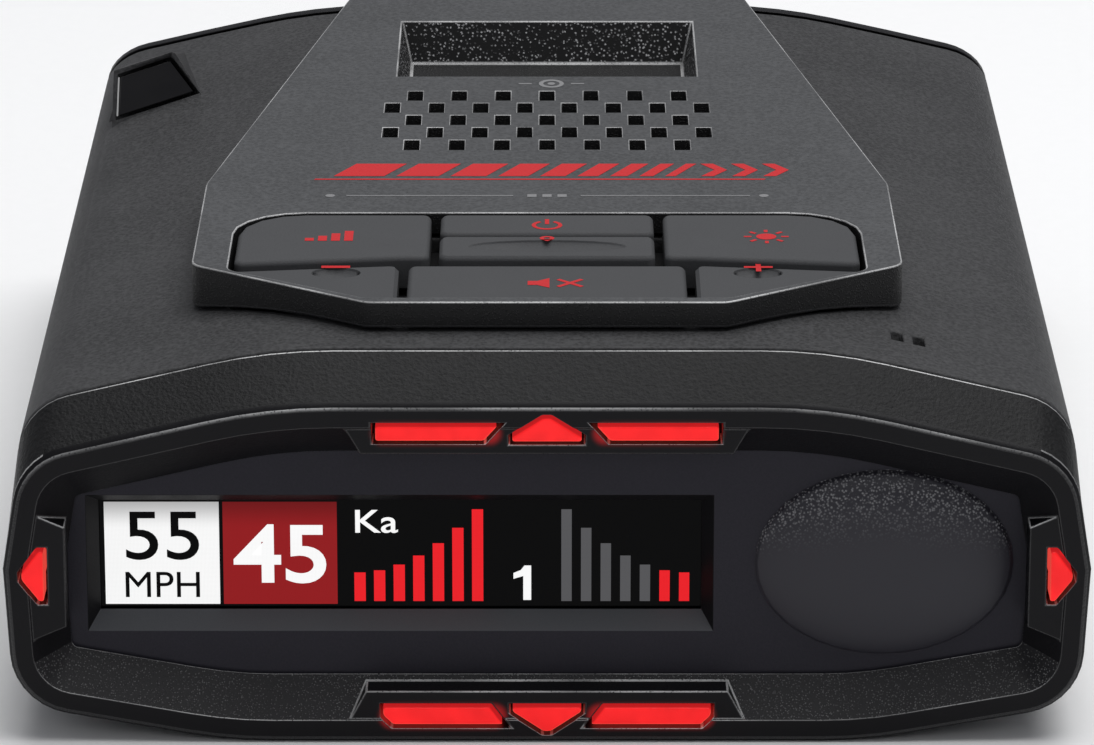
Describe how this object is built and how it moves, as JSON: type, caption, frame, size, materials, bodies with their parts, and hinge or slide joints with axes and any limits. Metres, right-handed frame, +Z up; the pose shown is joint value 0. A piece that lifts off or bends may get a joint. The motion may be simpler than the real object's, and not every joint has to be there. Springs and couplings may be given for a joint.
{
  "type": "radar detector",
  "caption": "Windscreen-mounted radar and laser detector with a recessed display, alert lights, top keys, speaker grille and a recess for its mount.",
  "frame": {"origin": "centre of the flat underside, under the middle of the overall length and width", "axes": "+X to the right as the driver faces the display, +Y away from the driver towards the road, +Z up"},
  "size_m": [0.0884, 0.132, 0.035],
  "materials": {
    "case_plastic": "soft-touch black, fine grain",
    "radome_plastic": "fine grain black",
    "panel_plastic": "satin dark grey",
    "bezel_plastic": "black, coarse spark grain",
    "key_rubber": "matt dark grey",
    "light_pipe": "red translucent, lit",
    "display_glass": "gloss, lit graphics",
    "smoked_window": "gloss, infrared-clear",
    "black_nylon": "moulded",
    "mat_rubber": "matt",
    "circuit_board": "solder mask",
    "tinned_steel": "tinned",
    "cast_zinc": "cast",
    "magnet": "nickel plated",
    "speaker_cloth": "woven dust cloth",
    "ceramic": "unglazed ceramic",
    "label": "printed film, blank",
    "screw_steel": "black zinc"
  },
  "bodies": {
    "housing": {"audio_jack": "black_nylon", "bluetooth_module": "tinned_steel", "bottom_case": "case_plastic", "case_screw_front_left": "screw_steel", "case_screw_front_right": "screw_steel", "case_screw_rear_left": "screw_steel", "case_screw_rear_right": "screw_steel", "control_panel": "panel_plastic", "display_module": "black_nylon", "display_window": "display_glass", "fascia_panel": "bezel_plastic", "front_bezel": "bezel_plastic", "front_board": "circuit_board", "front_horn": "cast_zinc", "front_laser_sensor": "black_nylon", "front_laser_window": "smoked_window", "gps_antenna": "ceramic", "key_board": "circuit_board", "key_mat": "mat_rubber", "label_plate": "label", "light_bottom_arrow": "light_pipe", "light_bottom_left": "light_pipe", "light_bottom_right": "light_pipe", "light_side_left": "light_pipe", "light_side_right": "light_pipe", "light_top_arrow": "light_pipe", "light_top_left": "light_pipe", "light_top_right": "light_pipe", "main_board": "circuit_board", "microphone": "tinned_steel", "mount_magnet_left": "magnet", "mount_magnet_right": "magnet", "power_jack": "black_nylon", "radome_cover": "radome_plastic", "rear_frame": "bezel_plastic", "rear_horn": "cast_zinc", "rear_laser_sensor": "black_nylon", "rear_laser_window": "smoked_window", "shield_can": "tinned_steel", "speaker_cone": "speaker_cloth", "speaker_frame": "black_nylon", "speaker_magnet": "magnet", "speaker_mesh": "speaker_cloth", "top_case": "case_plastic", "usb_port": "tinned_steel"},
    "volume_up_key": {"key_volume_up": "key_rubber", "plunger_volume_up": "black_nylon"},
    "volume_down_key": {"key_volume_down": "key_rubber", "plunger_volume_down": "black_nylon"},
    "mute_key": {"key_mute": "key_rubber", "plunger_mute": "black_nylon"},
    "brightness_key": {"key_brightness": "key_rubber", "plunger_brightness": "black_nylon"},
    "sensitivity_key": {"key_sensitivity": "key_rubber", "plunger_sensitivity": "black_nylon"},
    "mark_key": {"key_mark": "key_rubber", "plunger_mark": "black_nylon"},
    "power_key": {"key_power": "key_rubber", "plunger_power": "black_nylon"}
  },
  "joints": [
    {"name": "volume_up_press", "type": "slide", "parent": "housing", "child": "volume_up_key", "axis": [0, 0, -1], "range_m": [0, 0.0004], "stiffness_N_per_m": 3000},
    {"name": "volume_down_press", "type": "slide", "parent": "housing", "child": "volume_down_key", "axis": [0, 0, -1], "range_m": [0, 0.0004], "stiffness_N_per_m": 3000},
    {"name": "mute_press", "type": "slide", "parent": "housing", "child": "mute_key", "axis": [0, 0, -1], "range_m": [0, 0.0004], "stiffness_N_per_m": 3000},
    {"name": "brightness_press", "type": "slide", "parent": "housing", "child": "brightness_key", "axis": [0, 0, -1], "range_m": [0, 0.0004], "stiffness_N_per_m": 3000},
    {"name": "sensitivity_press", "type": "slide", "parent": "housing", "child": "sensitivity_key", "axis": [0, 0, -1], "range_m": [0, 0.0004], "stiffness_N_per_m": 3000},
    {"name": "mark_press", "type": "slide", "parent": "housing", "child": "mark_key", "axis": [0, 0, -1], "range_m": [0, 0.0004], "stiffness_N_per_m": 3000},
    {"name": "power_press", "type": "slide", "parent": "housing", "child": "power_key", "axis": [0, 0, -1], "range_m": [0, 0.0004], "stiffness_N_per_m": 3000}
  ]
}
